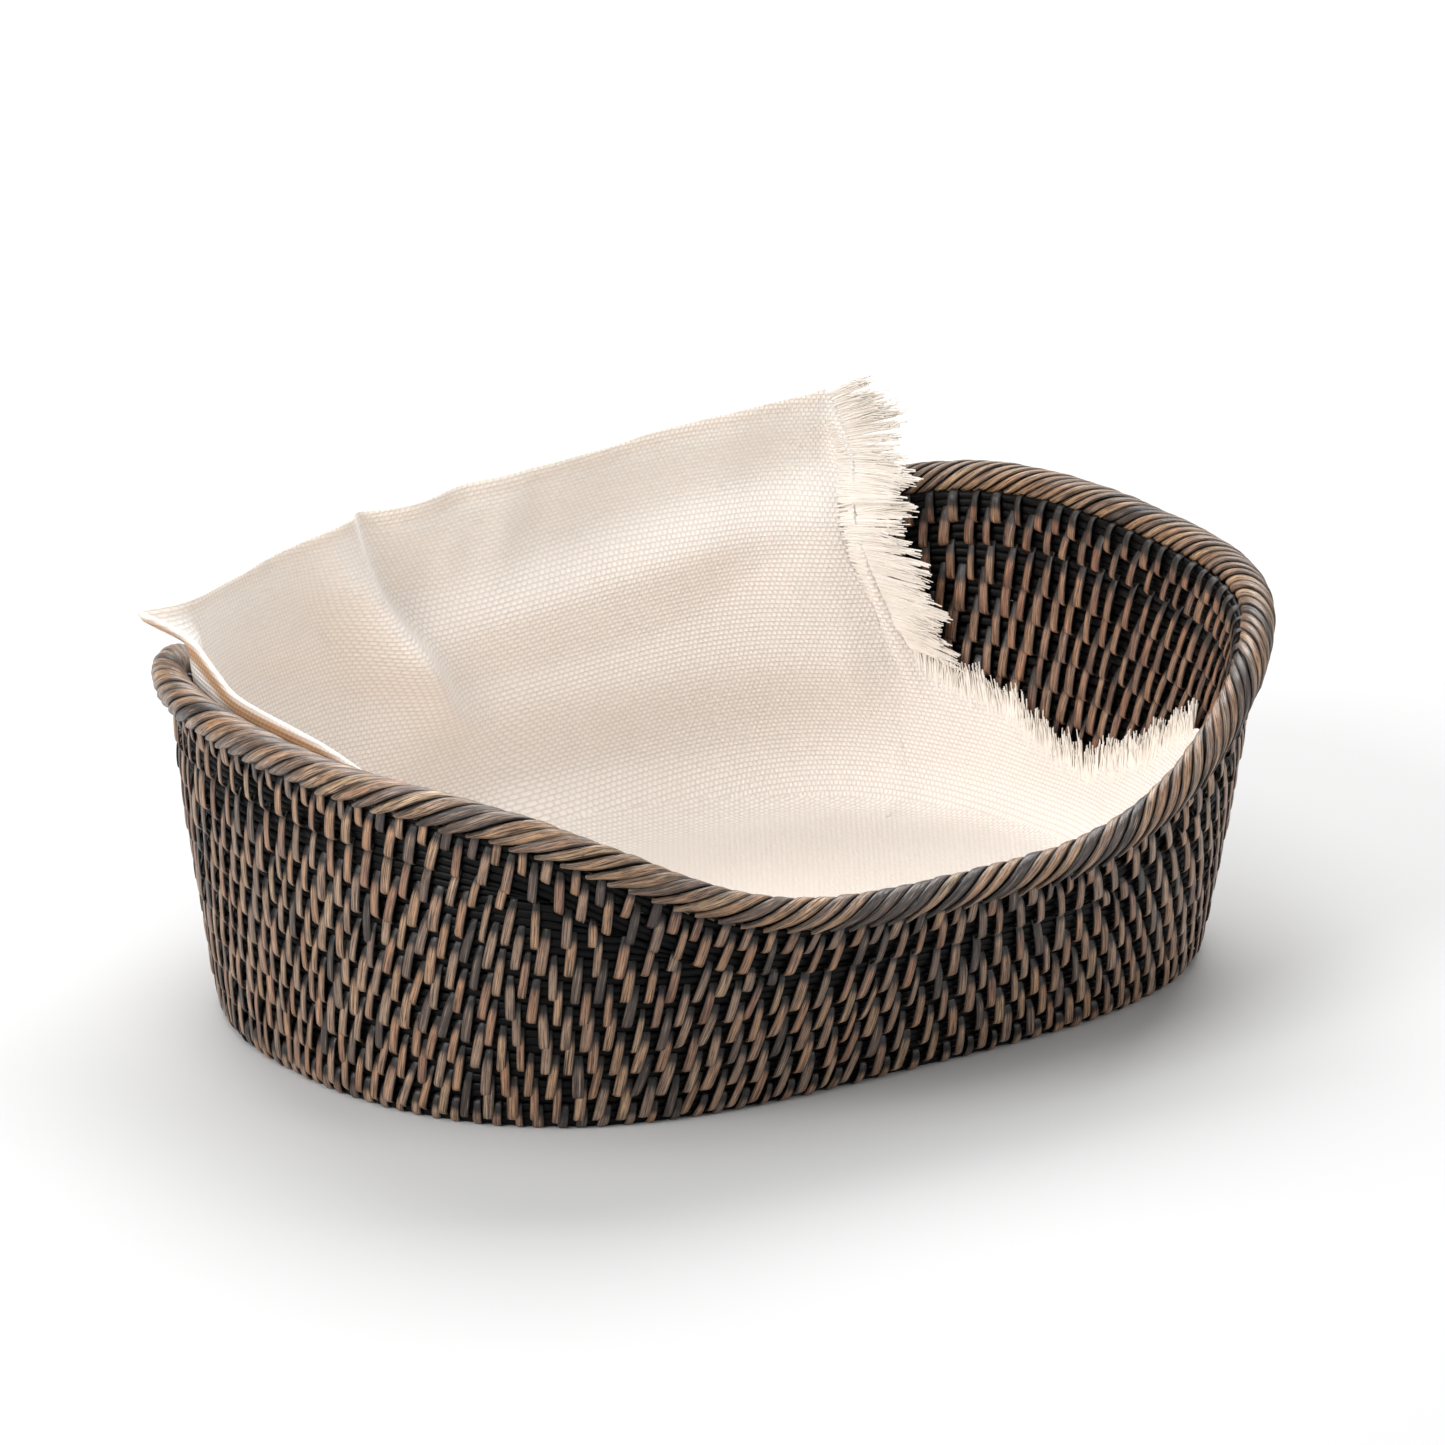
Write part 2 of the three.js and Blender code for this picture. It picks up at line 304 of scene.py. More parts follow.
class WallRow(Row):
    """A row of the wall between the heights low and high, in the directions th."""

    REACH = 2.0  # how far above and below its middle a row takes the wall's lean from

    def __init__(self, name, th, low, high, order, loop, closed=True):
        middle = (low + high) / 2
        inset = WALL_THICKNESS / 2
        below = inside(th, np.maximum(middle - self.REACH, 0), inset)
        climb = inside(th, middle + self.REACH, inset) - below
        centre, outward = inside(th, middle, inset), wall_normal(th, middle)
        super().__init__(name, centre, outward, climb / climb[:, 2:3], (high - low) / 2, closed)
        self.th, self.order, self.loop = th, order, loop


SHORT_ROW_LEAST = 0.08  # a short row ends where less than this share of its height has room
STITCH_LEAST = 0.3  # and its strips end sooner
NECK_OVERLAP = 3.2  # how far the neck row reaches up into the rim


def row_limits(k, th):
    """Heights between which row k lies."""
    return (k - 1) * row_pitch(th), np.minimum(k * row_pitch(th), rows_top(th))


def room_share(k, th):
    """Share of row k that fits below the upper rod."""
    return (rows_top(th) - (k - 1) * row_pitch(th)) / row_pitch(th)


def wall_rows():
    rows = []
    for k in range(1, FULL_ROWS + 1):
        loop = ROUND_LOOP if k == 1 else LONG_LOOP
        rows.append(WallRow(f"wall_rod_{k:02d}", AROUND, *row_limits(k, AROUND), k, loop))
    for k in range(FULL_ROWS + 1, FULL_ROWS + SHORT_ROWS + 1):
        for side, middle in (("left", math.pi), ("right", 0.0)):
            th = middle + np.radians(np.linspace(-90, 90, 1201))
            th = th[room_share(k, th) > SHORT_ROW_LEAST]
            name = f"short_rod_{k:02d}_{side}"
            rows.append(WallRow(name, th, *row_limits(k, th), k, LONG_LOOP, closed=False))
    rows.append(WallRow("upper_rod", AROUND, rows_top(AROUND), upper_top(AROUND), 0, UPPER_LOOP))
    top = neck_top(AROUND) + NECK_OVERLAP
    rows.append(WallRow("neck_rod", AROUND, upper_top(AROUND), top, 1, NECK_LOOP))
    return rows


def closed_steps(line, reach):
    """Steps along a closed line whose last point repeats its first."""
    steps = np.roll(line[:-1], -reach, 0) - np.roll(line[:-1], reach, 0)
    return np.concatenate([steps, steps[:1]])


BASE_ROD_HALF = 4.6


def base_rows():
    """Coils of the base, from the innermost to the outermost, and then the core rod."""
    rows = []
    count = len(AROUND)
    down = np.array([0.0, 0.0, -1.0])
    edge = inside(AROUND, 0.0, WALL_THICKNESS / 2)
    root = np.stack([np.clip(edge[:, 0], -CORE_HALF, CORE_HALF), np.zeros(count), np.zeros(count)], -1)
    for order in range(1, BASE_RINGS + 1):
        centre = mix(root, edge, order / (BASE_RINGS + 1))
        centre[:, 2] = BASE_HEIGHT / 2
        side = level_side(closed_steps(centre, 3))
        half = np.full(count, BASE_ROD_HALF)
        rows.append(Row(f"base_rod_{order:02d}", centre, np.tile(down, (count, 1)), side, half))
    x = np.linspace(-CORE_HALF - 1, CORE_HALF + 1, 200)
    centre = np.stack([x, 0 * x, 0 * x + BASE_HEIGHT / 2], -1)
    side = np.tile([0.0, 1.0, 0.0], (len(x), 1))
    half = np.full(len(x), BASE_ROD_HALF)
    rows.append(Row("base_core_rod", centre, np.tile(down, (len(x), 1)), side, half, closed=False))
    return rows


# ---- strands: the dark rods inside every coil -------------------------------------------------------
STRAND_PLACES = (
    (0.62, 0.62), (0.7, 0.0), (0.62, -0.62), (-0.62, 0.62), (-0.7, 0.0), (-0.62, -0.62),
)
STRAND_SIDES = 7
STRAND_STEP = 3.0
STRAND_OVERLAP = 1.08  # thickness of a strand, as a share of a third of the row
STRAND_LARGEST = 1.75  # its largest half thickness
STRAND_WIDTH = 0.48  # half width of a strand, as a share of the depth


def strands(row, depth, look):
    """Six thin rods side by side that fill one coil; depth is half the wall they fill."""
    count = max(12, int(row.length / STRAND_STEP))
    s = np.linspace(0, row.length, count, endpoint=not row.closed)
    centre, outward, upward, _, half = row.sample(s)
    turn = circle(STRAND_SIDES)
    thick = np.minimum(half / 3 * STRAND_OVERLAP, STRAND_LARGEST)
    ring = (
        outward[:, None] * (STRAND_WIDTH * depth * np.cos(turn))[:, None]
        + upward[:, None] * (thick[:, None] * np.sin(turn))[..., None]
    )
    points, tints = [], []
    for out_share, up_share in STRAND_PLACES:
        wave = 0.18 * np.sin(s / 17 + rng.uniform(0, 6)) + 0.12 * np.sin(s / 7.3 + rng.uniform(0, 6))
        path = centre + outward * (out_share * depth) + upward * (up_share * half + wave)[:, None]
        points.append(path[:, None] + ring)
        tints.append(rng.uniform())
    number, size = len(STRAND_PLACES), count * STRAND_SIDES
    values = {
        "tint": np.repeat(tints, size),
        "along": np.tile(np.repeat(s, STRAND_SIDES), number),
        "across": np.tile(turn, number * count),
    }
    quads = many(number, grid_quads(count, STRAND_SIDES, row.closed, True), size)
    return make_mesh(row.name + "_strands", np.array(points), quads, look, values)


# ---- strips: one flat rattan strip bound round a coil at every step -----------------------------------
# Shares (across, out) of half a strip's width and of its thickness: domed outside, flat inside.
STRIP_SECTION = np.array([
    (-1, 0.1), (-0.93, 0.72), (-0.5, 0.96), (0, 1.0), (0.5, 0.96), (0.93, 0.72), (1, 0.1),
    (0.7, -0.1), (-0.7, -0.1),
])
OUTER_STEP = 6  # a step of the loop that lies on its outer side


def sweep_section(path, side, normal, half_width, thickness):
    """The strip's section at every point of many paths."""
    across, out = STRIP_SECTION.T
    return (
        path[:, :, None]
        + side[:, :, None] * (across * half_width[..., None])[..., None]
        + normal[:, :, None] * (out * thickness)[:, None]
    )


def strips(row, places, depth, width, thickness, look, loop, steps=34, lean=0.0, lean_in=0.0):
    """Strips bound round one row at the given places along it.

    lean and lean_in say how far a strip moves along the row for each millimetre that it climbs, on
    its outer and on its inner side.
    """
    count, m = len(places), len(STRIP_SECTION)
    centre, outward, upward, along, half = row.sample(places)
    out_share, up_share = smooth_path(loop, steps, True).T
    swell = rng.normal(1, 0.05, count)
    drop = np.where(up_share < -1.0, rng.uniform(0.93, 1.05, (count, 1)), 1.0)
    outer = np.clip(0.5 + out_share / 0.6, 0, 1)
    slant = np.reshape(lean, (-1, 1)) * outer + lean_in * (1 - outer)
    slant = slant + rng.normal(0, 0.05, (count, 1))
    out = out_share * (depth * swell)[:, None]
    up = up_share * half[:, None] * drop
    path = (
        centre[:, None]
        + outward[:, None] * out[..., None]
        + upward[:, None] * up[..., None]
        + along[:, None] * (slant * up + rng.normal(0, 0.25, (count, 1)))[..., None]
    )
    tangent = unit(np.roll(path, -1, 1) - np.roll(path, 1, 1))
    side = unit(along[:, None] - tangent * (along[:, None] * tangent).sum(-1, keepdims=True))
    normal = unit(np.cross(tangent, side))
    normal = normal * np.sign((normal[:, OUTER_STEP] * outward).sum(-1))[:, None, None]
    half_width = width * np.clip(rng.normal(1, 0.11, count), 0.7, 1.25) / 2
    side, normal = turned(side, normal, rng.normal(0, 0.10, (count, 1, 1)))
    from_top = up_share.max() - up_share
    narrow = np.interp(from_top, (0.1, 1.2, 3.0, 3.5), (0.84, 1.0, 1.0, 0.95))
    narrow = narrow * np.where(out_share < 0, 1.1, 1.0)
    ring = sweep_section(path, side, normal, half_width[:, None] * narrow, thickness)
    run = np.cumsum(np.linalg.norm(np.roll(path, -1, 1) - path, axis=-1), axis=1)
    # painted shade together with stain: a strip is near-black at its top, under the row above, and inside
    # the wall, and tan elsewhere
    clear_of_stain_and_shade = np.clip((from_top - np.where(out_share < 0, 0.95, 0.68)) / 0.4, 0, 1)
    clear_of_stain_and_shade = clear_of_stain_and_shade * np.clip((np.abs(out_share) - 0.45) / 0.2, 0, 1)
    values = {
        "tint": np.repeat(rng.uniform(0, 1, count), steps * m),
        "along": np.repeat(run.ravel(), m),
        "across": np.tile(STRIP_SECTION[:, 0], count * steps),
        "clear_of_stain_and_shade": np.tile(np.repeat(clear_of_stain_and_shade, m), count),
        "inner": np.tile(np.repeat(np.where(out_share < 0, 1.0, 0.0), m), count),
    }
    quads = many(count, grid_quads(steps, m, True, True), steps * m)
    return make_mesh(row.name + "_strips", ring, quads, look, values)


# ---- rim -------------------------------------------------------------------------------------------
RIM_PITCH = 6.7  # middle distance from strip to strip
RIM_PITCH_SWING = 1.5
RIM_ADVANCE = 52.0  # how far a strip moves along the rim in one turn
RIM_TURN = (-62, 262)  # degrees round the rim's section, from its outer side by way of its top
RIM_STEPS = 36
RIM_STRIP_SINK = 1.45  # how far a strip's middle lies below the rim's radius
RIM_STRIP_THICKNESS = 1.35
RIM_CORE_RADIUS = RIM_RADIUS - 1.25
END_QUADS = np.array([(8, 0, 1, 2), (8, 2, 3, 4), (8, 4, 5, 7)])  # points of STRIP_SECTION


def rim_row():
    centre = wall_point(AROUND, rim_height(AROUND))
    along = unit(closed_steps(centre, 4))
    outward = level_side(along)
    upward = unit(np.cross(outward, along))
    return Row("rim", centre, outward, upward, np.full(len(AROUND), RIM_RADIUS))


def with_ends(grid):
    """Points or values of open strips, followed by copies of their first and last sections."""
    return np.concatenate([a.reshape(-1, *grid.shape[3:]) for a in (grid, grid[:, 0], grid[:, -1])])


def end_quads(count, steps, m):
    """Quads that close both ends of open strips, on the copies that with_ends adds."""
    start = count * steps * m
    first = many(count, END_QUADS, m) + start
    last = many(count, END_QUADS[:, ::-1], m) + start + count * m
    return np.concatenate([first, last])


def rim_strips(row, look):
    """Flat strips wound slantwise over the rim's core, each from a square end low on the outside."""
    place, s = [], 0.0
    while s < row.length:
        pitch = RIM_PITCH + RIM_PITCH_SWING * math.cos(math.tau * (s / row.length - 0.58))
        place.append((s, pitch))
        s += pitch * rng.uniform(0.88, 1.12)
    start, pitch = np.array(place).T
    count, steps, m = len(start), RIM_STEPS, len(STRIP_SECTION)
    phi = np.radians(np.linspace(*RIM_TURN, steps))
    s = start[:, None] + phi / math.tau * RIM_ADVANCE
    centre, outward, upward = (a.reshape(count, steps, 3) for a in row.sample(s.ravel())[:3])
    lift = 0.9 * bell(phi, phi[0], 0.32) * rng.uniform(0.3, 1.5, (count, 1))
    radius = RIM_RADIUS - RIM_STRIP_SINK + lift + rng.normal(0, 0.12, (count, 1))
    radial = outward * np.cos(phi)[:, None] + upward * np.sin(phi)[:, None]
    path = centre + radial * radius[..., None]
    side = unit(np.cross(radial, unit(np.gradient(path, axis=1))))
    side, normal = turned(side, radial, rng.normal(0.17, 0.06, (count, 1, 1)))
    slant = math.sin(math.atan(math.tau * RIM_RADIUS / RIM_ADVANCE))
    half_width = pitch * slant * rng.uniform(0.74, 0.94, count) / 2
    ring = sweep_section(path, side, normal, half_width[:, None], RIM_STRIP_THICKNESS)
    run = np.cumsum(np.linalg.norm(np.diff(path, axis=1, prepend=path[:, :1]), axis=-1), axis=1)
    darkest = mix(0.86, 1.0, bell(start / row.length, 0.76, 0.09))
    tint = rng.uniform(0, darkest)
    stained = 0.42 * bell(np.degrees(phi), 95, 50) * rng.uniform(0.2, 1.0, (count, 1))
    values = {
        "tint": np.repeat(tint, steps * m),
        "along": np.repeat(run.ravel(), m),
        "across": np.tile(STRIP_SECTION[:, 0], count * steps),
        "clear_of_stain_and_shade": np.repeat((1 - stained).ravel(), m),
        "inner": np.zeros(count * steps * m),
    }
    values = {key: with_ends(value.reshape(count, steps, m)) for key, value in values.items()}
    quads = many(count, grid_quads(steps, m, False, True), steps * m)
    quads = np.concatenate([quads, end_quads(count, steps, m)])
    return make_mesh("rim_wrap", with_ends(ring), quads, look, values)


def rim_core(row, look):
    """The round hoop inside the rim's strips."""
    count, sides = 360, 14
    s = np.linspace(0, row.length, count, endpoint=False)
    centre, outward, upward = row.sample(s)[:3]
    turn = circle(sides)
    ring = (
        centre[:, None]
        + outward[:, None] * (RIM_CORE_RADIUS * np.cos(turn))[:, None]
        + upward[:, None] * (RIM_CORE_RADIUS * np.sin(turn))[:, None]
    )
    values = {
        "tint": np.full(count * sides, 0.3),
        "along": np.repeat(s, sides),
        "across": np.tile(turn, count),
    }
    return make_mesh("rim_core", ring, grid_quads(count, sides, True, True), look, values)


# ---- materials ---------------------------------------------------------------------------------------
BLACK = (0.0, 0.0, 0.0)
WHITE = (1.0, 1.0, 1.0)


class Nodes:
    """Short way to wire a material's nodes."""

    def __init__(self, name):
        self.material = bpy.data.materials.new(name)
        self.material.use_nodes = True
        self.tree = self.material.node_tree
        self.shader = self.tree.nodes["Principled BSDF"]

    def add(self, kind, **settings):
        node = self.tree.nodes.new(kind)
        for key, value in settings.items():
            setattr(node, key, value)
        return node

    def feed(self, socket, value):
        """Give a socket a number, a colour or another node's output."""
        if isinstance(value, (int, float)):
            socket.default_value = value
        elif isinstance(value, tuple):
            socket.default_value = (*value, 1)
        else:
            self.tree.links.new(value, socket)

    def surface(self, **settings):
        """Constants of the shader, by socket name with _ for a space."""
        for key, value in settings.items():
            self.shader.inputs[key.replace("_", " ")].default_value = value

    def color(self, color):
        self.feed(self.shader.inputs["Base Color"], color)

    def attribute(self, name):
        return self.add("ShaderNodeAttribute", attribute_name=name).outputs["Fac"]

    def object_place(self):
        return self.add("ShaderNodeTexCoord").outputs["Object"]

    def math(self, kind, *values, clamp=False):
        node = self.add("ShaderNodeMath", operation=kind, use_clamp=clamp)
        for socket, value in zip(node.inputs, values):
            self.feed(socket, value)
        return node.outputs[0]

    def times(self, a, b):
        return self.math("MULTIPLY", a, b)

    def vector(self, *values):
        node = self.add("ShaderNodeCombineXYZ")
        for socket, value in zip(node.inputs, values):
            self.feed(socket, value)
        return node.outputs[0]

    def noise(self, vector, scale, detail=3.0, roughness=0.5):
        node = self.add("ShaderNodeTexNoise")
        for key, value in (("Scale", scale), ("Detail", detail), ("Roughness", roughness)):
            node.inputs[key].default_value = value
        self.feed(node.inputs["Vector"], vector)
        return node.outputs["Fac"]

    def ramp(self, factor, *stops):
        node = self.add("ShaderNodeValToRGB")
        elements = node.color_ramp.elements
        while len(elements) < len(stops):
            elements.new(0.5)
        for element, (place, color) in zip(elements, stops):
            element.position = place
            element.color = (*color, 1)
        self.feed(node.inputs["Fac"], factor)
        return node.outputs["Color"]

    def blend(self, factor, a, b, kind="MIX"):
        node = self.add("ShaderNodeMix", data_type="RGBA", blend_type=kind)
        for index, value in ((0, factor), (6, a), (7, b)):
            self.feed(node.inputs[index], value)
        return node.outputs[2]

    def bump(self, height, strength, distance):
        node = self.add("ShaderNodeBump")
        node.inputs["Strength"].default_value = strength
        node.inputs["Distance"].default_value = distance
        self.feed(node.inputs["Height"], height)
        self.feed(self.shader.inputs["Normal"], node.outputs["Normal"])


def srgb(*color):
    """Linear colour from 0 to 255 steps of sRGB."""
    shares = (c / 255 for c in color)
    return tuple(c / 12.92 if c <= 0.04045 else ((c + 0.055) / 1.055) ** 2.4 for c in shares)


# near-black of the stain, used for painted shade as well
STAIN_AND_SHADE = srgb(17, 14, 13)
TAN = (
    (0.0, srgb(214, 178, 138)), (0.16, srgb(208, 150, 110)), (0.32, srgb(190, 158, 132)),
    (0.46, srgb(214, 164, 122)), (0.60, srgb(174, 122, 92)), (0.74, srgb(202, 166, 136)),
    (0.86, srgb(162, 134, 114)), (0.94, srgb(84, 70, 64)), (1.0, srgb(36, 31, 30)),
)
RIM_TAN = (
    (0.0, srgb(236, 196, 152)), (0.2, srgb(212, 158, 114)), (0.38, srgb(186, 156, 134)),
    (0.55, srgb(220, 174, 132)), (0.70, srgb(166, 134, 112)), (0.82, srgb(80, 68, 64)),
    (1.0, srgb(18, 16, 18)),
)


def strip_material(name, stops, rough, splits):
    """Rattan strip: tan to charcoal from strip to strip, dark grain, painted warm bounce light on the inner
    side, and near-black painted shade with stain in the recesses.
    """
    n = Nodes(name)
    tint, along, across, clear_of_stain_and_shade, inner = (
        n.attribute(key) for key in ("tint", "along", "across", "clear_of_stain_and_shade", "inner")
    )
    seed = n.times(tint, 91.0)

    def grain(stretch_across, stretch_along, *noise):
        """Noise drawn out along the strip and different from strip to strip."""
        place = n.vector(n.times(across, stretch_across), n.times(along, stretch_along), seed)
        return n.noise(place, *noise)

    fine = grain(3.6, 0.06, 1.6, 4.0, 0.65)
    blotch = grain(1.0, 0.35, 0.9, 2.0)
    crack = n.ramp(grain(2.1, 0.035, 1.9, 1.0), (0.47, BLACK), (0.50, WHITE), (0.53, BLACK))
    # painted warm bounce light: the strips' inner side is blended half way towards a dark orange
    color = n.blend(n.times(inner, 0.5), n.ramp(tint, *stops), srgb(136, 74, 38))
    color = n.blend(n.times(blotch, 0.65), color, srgb(84, 64, 52))
    color = n.blend(n.ramp(fine, (0.38, BLACK), (0.54, WHITE)), srgb(44, 35, 31), color)
    pale = n.ramp(fine, (0.56, BLACK), (0.70, WHITE))
    color = n.blend(n.times(pale, 0.5), color, srgb(230, 200, 168))
    edge = n.math("POWER", n.math("ABSOLUTE", across), 3.0)
    color = n.blend(n.times(edge, 0.9), color, STAIN_AND_SHADE)
    color = n.blend(n.times(crack, splits), color, STAIN_AND_SHADE)
    # painted shade and stain: near-black under the row above and inside the wall
    unshaded_unstained = n.math("ADD", clear_of_stain_and_shade, n.times(n.math("SUBTRACT", fine, 0.5), 0.7), clamp=True)
    n.color(n.blend(unshaded_unstained, STAIN_AND_SHADE, color))
    n.feed(n.shader.inputs["Roughness"], n.math("MULTIPLY_ADD", fine, -0.2, rough + 0.1))
    n.surface(Specular_IOR_Level=0.6)
    n.bump(n.math("SUBTRACT", fine, n.times(crack, splits)), 0.6, 0.00022)
    return n.material


def strand_material():
    """Stained rod: almost black with a low gloss and faint lengthwise grain."""
    n = Nodes("dark_strand")
    tint, along, across = (n.attribute(key) for key in ("tint", "along", "across"))
    round_rod = n.times(n.math("SINE", across), 2.0)
    grain = n.noise(n.vector(round_rod, n.times(along, 0.06), n.times(tint, 50.0)), 2.0, 4.0, 0.6)
    n.color(n.ramp(grain, (0.3, srgb(4, 4, 4)), (0.65, srgb(10, 9, 9)), (0.85, srgb(26, 22, 20))))
    n.surface(Roughness=0.42, Specular_IOR_Level=0.13)
    n.bump(grain, 0.5, 0.0002)
    return n.material


# ---- liner cloth -----------------------------------------------------------------------------------
CLOTH_INSET = 10.2  # from the wall's outer face to the cloth's middle, where it lies against the wall
CLOTH_FLOOR = 9.9  # height of the cloth's middle over the base
CLOTH_THICK = 1.4
CLOTH_COLUMNS = 480
CLOTH_ROWS = 100
THREAD_PITCH = 1.95
HEM_FROM, HEM_TO = 47, 262  # directions in degrees between which the edge is turned over

# The cloth's edge all round, as (direction in degrees, height, inset from the wall's outer face).
CLOTH_EDGE = [
    (-22, 72, 10.4), (-12, 58, 10.4), (-3, 44, 10.6), (4, 35, 10.8), (10, 37, 10.6),
    (18, 45, 10.4), (26, 50, 10.4), (33, 56, 10.4), (36.8, 64, 10.6), (38.8, 76, 11.0),
    (41.0, 97, 12.0), (41.4, 114, 12.0), (42.0, 133, 11.5), (43.8, 146, 10.5), (46.5, 156, 9.5),
    (50, 154.5, 9.5), (58, 152, 9.0), (64, 150, 9.0), (70, 148, 9.5), (76, 146, 10.5),
    (80, 144, 10.0), (86, 143, 9.5), (90, 141.5, 9.0), (94, 140, 9.0), (97.5, 138.5, 9.5),
    (101, 138.5, 9.5), (104.5, 139.5, 10.5), (107.3, 141.2, 12.0), (109.5, 140.4, 13.0),
    (113, 138.8, 13.5), (118.5, 136.5, 14.0), (124, 134.8, 14.0), (130, 133.5, 13.5),
    (138, 134, 11.5), (144, 135, 8.5), (148, 135, 1.5), (150.8, 135.4, -9.5), (151.9, 134, -5.0),
    (153.2, 131.8, 1.0), (155.5, 130.4, 5.5), (158.5, 130, 8.0), (162.5, 128.3, 9.4),
    (166.5, 126.2, 10.2), (171.5, 123.8, 10.2), (180, 122.8, 10.2), (187, 120.5, 10.4),
    (195, 115, 10.6), (205, 106, 10.6), (215, 96, 10.6), (228, 86, 10.6), (240, 77, 10.6),
    (255, 67, 10.6), (268, 61, 10.6), (280, 59, 10.6), (292, 62, 10.6), (304, 66, 10.6),
    (318, 69, 10.6), (330, 71, 10.4),
]


def degrees_round(th):
    return np.degrees(np.mod(th, math.tau))


def wall_run(th):
    """Distance along the wall from the middle of the back, in direction th."""
    run = run_along(wall_point(AROUND, 90.0))
    whole = run[-1] * np.floor(th / math.tau)
    return np.interp(np.mod(th, math.tau), AROUND, run) + whole - np.interp(math.pi / 2, AROUND, run)


def edge_columns():
    """Directions, heights and insets of the cloth's edge, evenly spaced along it."""
    knots = np.array(CLOTH_EDGE, float)
    first, full_turn = knots[0, 0], np.array([360, 0, 0])
    knots = np.concatenate([knots[-2:] - full_turn, knots, knots[:3] + full_turn])
    degrees, height, inset = smooth_path(knots, 6000, False).T
    kept = (degrees >= first) & (degrees < first + 360)
    th, height, inset = np.radians(degrees[kept]), height[kept], inset[kept]
    place = inside(th, np.minimum(height, rim_height(th)), inset)
    place[:, 2] = height
    run = run_along(place)
    at = np.arange(CLOTH_COLUMNS) / CLOTH_COLUMNS * run[-1]
    return tuple(np.interp(at, run, value) for value in (th, height, inset))


def peak_folds(z, run, free):
    """The crease from the peak of the edge towards the middle of the back, and what is beside it."""
    drop = 137 - z
    off = run - (68 - 0.38 * drop - 0.0028 * drop * np.abs(drop))
    side = np.where(off > 0, bell(off, 0, mix(13.0, 30.0, ease(105, 132, z))), bell(off, 0, 8.0))
    crease = (8.0 + 6.5 * ease(137, 98, z)) * ease(48, 88, z) * side
    crease -= 1.8 * free * bell(off, -13, 7.0)
    hollow = -3.0 * free * ease(136, 118, z) * bell(off, 24, 11.0)
    knuckle = 4.5 * bell(run, 19, 10.0) * bell(z, 119, 14.0)
    knuckle -= 3.0 * free * bell(run, -12, 8.0) * ease(112, 126, z)
    return crease + hollow + knuckle


def back_folds(z, run, top):
    """The shelf along the back, which rises to the right, below an edge that leans in."""
    level = 101 - 0.13 * np.clip(run, -150, 20)
    back = ease(75, 25, run) * ease(-175, -135, run)
    belly = 11.0 * back * ease(11, -12, z - level) * ease(30, 66, z)
    lean = 6.0 * back * ease(-27, -3, z - top)
    ripple = 1.5 * bell(run, -122, 15.0) * ease(60, 84, z) * ease(108, 92, z)
    return belly + lean + ripple


def upright_folds(z, run):
    """Soft folds along the back's upper part."""
    slid = run + 0.45 * (z - 136)
    swell = bell(slid, -10, 9.0) - 0.8 * bell(slid, 15, 9.0)
    swell += 0.8 * bell(slid, -98, 20.0) - 0.8 * bell(slid, -50, 20.0)
    return 2.8 * ease(88, 116, z) * swell


def waves(th, z, run):
    """Low waves where the cloth stands free at the front, the left and the right end."""
    degrees = degrees_round(th)
    wave = 1.2 * np.sin(run / 13.0 + z / 40.0) * bell(degrees, 275, 45.0)
    wave += 1.4 * np.sin(run / 17.0 - z / 35.0 + 1.0) * bell(degrees, 205, 25.0)
    wave += 1.6 * np.sin(run / 9.0 + z / 25.0) * bell(degrees, 15, 18.0)
    return ease(15, 60, z) * wave


def cloth_folds(th, z, run, top):
    """How far the standing cloth comes in from the wall, at direction th and height z."""
    free = ease(2, 18, z - rim_height(th) - RIM_RADIUS)
    return peak_folds(z, run, free) + back_folds(z, run, top) + upright_folds(z, run) + waves(th, z, run)


def cloth_profile(th, top):
    """Heights and shares of the way out to the wall, from the middle of the base up to the edge."""
    degrees = degrees_round(th)
    reach = np.linalg.norm(inside(th, CLOTH_FLOOR, CLOTH_INSET)[:, :2], axis=1)
    radius = 17 + 36 * bell(degrees, 178, 48) + 8 * bell(degrees, 90, 25) + 5 * bell(degrees, 300, 40)
    radius = np.minimum(radius, (top - CLOTH_FLOOR) * 0.62)[:, None]
    flat = reach[:, None] - radius
    corner = radius * 0.5 * math.pi * 0.93
    rise = np.maximum(top[:, None] - CLOTH_FLOOR - radius, 1.0)
    run = np.linspace(0, 1, 700) * (flat + corner + rise)
    turn = np.clip((run - flat) / corner, 0, 1) * math.pi / 2
    out = np.minimum(run, flat) + radius * np.sin(turn)
    z = CLOTH_FLOOR + radius * (1 - np.cos(turn)) + np.clip(run - flat - corner, 0, None)
    at, steps = np.linspace(0.004, 1, CLOTH_ROWS), np.linspace(0, 1, 700)
    out, z = (np.stack([np.interp(at, steps, line) for line in lines]) for lines in (out, z))
    return z, np.minimum(out / reach[:, None], 1.0)


